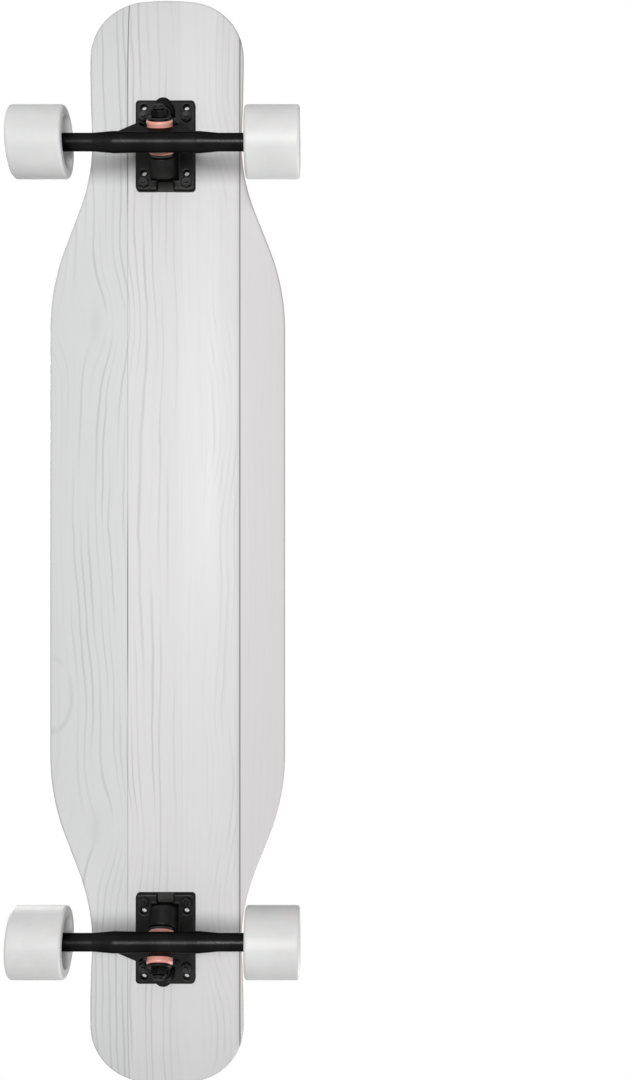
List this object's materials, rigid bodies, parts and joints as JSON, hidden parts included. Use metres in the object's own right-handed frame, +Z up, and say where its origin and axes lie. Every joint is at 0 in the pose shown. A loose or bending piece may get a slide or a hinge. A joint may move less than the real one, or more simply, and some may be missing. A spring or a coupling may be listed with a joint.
{
  "type": "longboard skateboard",
  "caption": "Longboard skateboard with a gripped wooden deck narrowed at both ends, steering trucks on rubber bushings and free-rolling soft wheels.",
  "frame": {"origin": "on the ground, midway between the trucks under the deck's middle", "axes": "+X to the nose, +Y to the left, +Z up"},
  "size_m": [1.067, 0.2626, 0.1263],
  "materials": {
    "deck_wood": "white plank print under clear lacquer, bare maple plies on the edge",
    "grip": "coarse black grit",
    "pad_rubber": "matt",
    "truck_black": "satin black powder coat",
    "dark_steel": "blackened steel",
    "bright_steel": "bright zinc",
    "bushing_urethane": "salmon pink urethane",
    "shield_black": "gloss",
    "black_plastic": "matt",
    "core_plastic": "satin",
    "wheel_urethane": "satin white urethane"
  },
  "bodies": {
    "board": {"deck": "deck_wood", "grip_tape": "grip", "front_riser_pad": "pad_rubber", "front_baseplate": "truck_black", "front_pivot_cup": "black_plastic", "front_kingpin": "dark_steel", "front_kingpin_nut": "dark_steel", "front_bushing_boardside": "bushing_urethane", "front_bushing_roadside": "bushing_urethane", "front_cup_washers": "dark_steel", "front_mounting_bolts": "dark_steel", "front_mounting_nuts": "dark_steel", "rear_riser_pad": "pad_rubber", "rear_baseplate": "truck_black", "rear_pivot_cup": "black_plastic", "rear_kingpin": "dark_steel", "rear_kingpin_nut": "dark_steel", "rear_bushing_boardside": "bushing_urethane", "rear_bushing_roadside": "bushing_urethane", "rear_cup_washers": "dark_steel", "rear_mounting_bolts": "dark_steel", "rear_mounting_nuts": "dark_steel"},
    "front_truck": {"front_hanger": "truck_black", "front_axle": "bright_steel", "front_axle_nuts": "bright_steel", "front_speed_washers": "bright_steel", "front_bearing_spacers": "bright_steel", "front_bearing_inner_rings": "bright_steel"},
    "rear_truck": {"rear_hanger": "truck_black", "rear_axle": "bright_steel", "rear_axle_nuts": "bright_steel", "rear_speed_washers": "bright_steel", "rear_bearing_spacers": "bright_steel", "rear_bearing_inner_rings": "bright_steel"},
    "front_left_wheel": {"front_left_wheel_tyre": "wheel_urethane", "front_left_wheel_core": "core_plastic", "front_left_bearing_outer_rings": "bright_steel", "front_left_bearing_shields": "shield_black"},
    "front_right_wheel": {"front_right_wheel_tyre": "wheel_urethane", "front_right_wheel_core": "core_plastic", "front_right_bearing_outer_rings": "bright_steel", "front_right_bearing_shields": "shield_black"},
    "rear_left_wheel": {"rear_left_wheel_tyre": "wheel_urethane", "rear_left_wheel_core": "core_plastic", "rear_left_bearing_outer_rings": "bright_steel", "rear_left_bearing_shields": "shield_black"},
    "rear_right_wheel": {"rear_right_wheel_tyre": "wheel_urethane", "rear_right_wheel_core": "core_plastic", "rear_right_bearing_outer_rings": "bright_steel", "rear_right_bearing_shields": "shield_black"},
    "front_left_ball_set": {"front_left_bearing_balls": "bright_steel", "front_left_bearing_cages": "black_plastic"},
    "front_right_ball_set": {"front_right_bearing_balls": "bright_steel", "front_right_bearing_cages": "black_plastic"},
    "rear_left_ball_set": {"rear_left_bearing_balls": "bright_steel", "rear_left_bearing_cages": "black_plastic"},
    "rear_right_ball_set": {"rear_right_bearing_balls": "bright_steel", "rear_right_bearing_cages": "black_plastic"}
  },
  "joints": [
    {"name": "front_steer", "type": "hinge", "parent": "board", "child": "front_truck", "pos_m": [0.3787, 0, 0.064], "axis": [0.8829, 0, 0.4695], "range_deg": [-20, 20], "stiffness_Nm_per_rad": 60, "deforming": ["front_bushing_boardside", "front_bushing_roadside"]},
    {"name": "rear_steer", "type": "hinge", "parent": "board", "child": "rear_truck", "pos_m": [-0.3787, 0, 0.064], "axis": [-0.8829, 0, 0.4695], "range_deg": [-20, 20], "stiffness_Nm_per_rad": 60, "deforming": ["rear_bushing_boardside", "rear_bushing_roadside"]},
    {"name": "front_left_wheel_spin", "type": "hinge", "parent": "front_truck", "child": "front_left_wheel", "pos_m": [0.3652, 0.1063, 0.0325], "axis": [0, 1, 0], "continuous": true},
    {"name": "front_right_wheel_spin", "type": "hinge", "parent": "front_truck", "child": "front_right_wheel", "pos_m": [0.3652, -0.1063, 0.0325], "axis": [0, 1, 0], "continuous": true},
    {"name": "rear_left_wheel_spin", "type": "hinge", "parent": "rear_truck", "child": "rear_left_wheel", "pos_m": [-0.3652, 0.1063, 0.0325], "axis": [0, 1, 0], "continuous": true},
    {"name": "rear_right_wheel_spin", "type": "hinge", "parent": "rear_truck", "child": "rear_right_wheel", "pos_m": [-0.3652, -0.1063, 0.0325], "axis": [0, 1, 0], "continuous": true},
    {"name": "front_left_ball_spin", "type": "hinge", "parent": "front_truck", "child": "front_left_ball_set", "pos_m": [0.3652, 0.1063, 0.0325], "axis": [0, 1, 0], "continuous": true},
    {"name": "front_right_ball_spin", "type": "hinge", "parent": "front_truck", "child": "front_right_ball_set", "pos_m": [0.3652, -0.1063, 0.0325], "axis": [0, 1, 0], "continuous": true},
    {"name": "rear_left_ball_spin", "type": "hinge", "parent": "rear_truck", "child": "rear_left_ball_set", "pos_m": [-0.3652, 0.1063, 0.0325], "axis": [0, 1, 0], "continuous": true},
    {"name": "rear_right_ball_spin", "type": "hinge", "parent": "rear_truck", "child": "rear_right_ball_set", "pos_m": [-0.3652, -0.1063, 0.0325], "axis": [0, 1, 0], "continuous": true}
  ],
  "couplings": [
    {"joint": "front_left_ball_spin", "follows": "front_left_wheel_spin", "ratio": 0.63053},
    {"joint": "front_right_ball_spin", "follows": "front_right_wheel_spin", "ratio": 0.63053},
    {"joint": "rear_left_ball_spin", "follows": "rear_left_wheel_spin", "ratio": 0.63053},
    {"joint": "rear_right_ball_spin", "follows": "rear_right_wheel_spin", "ratio": 0.63053}
  ]
}
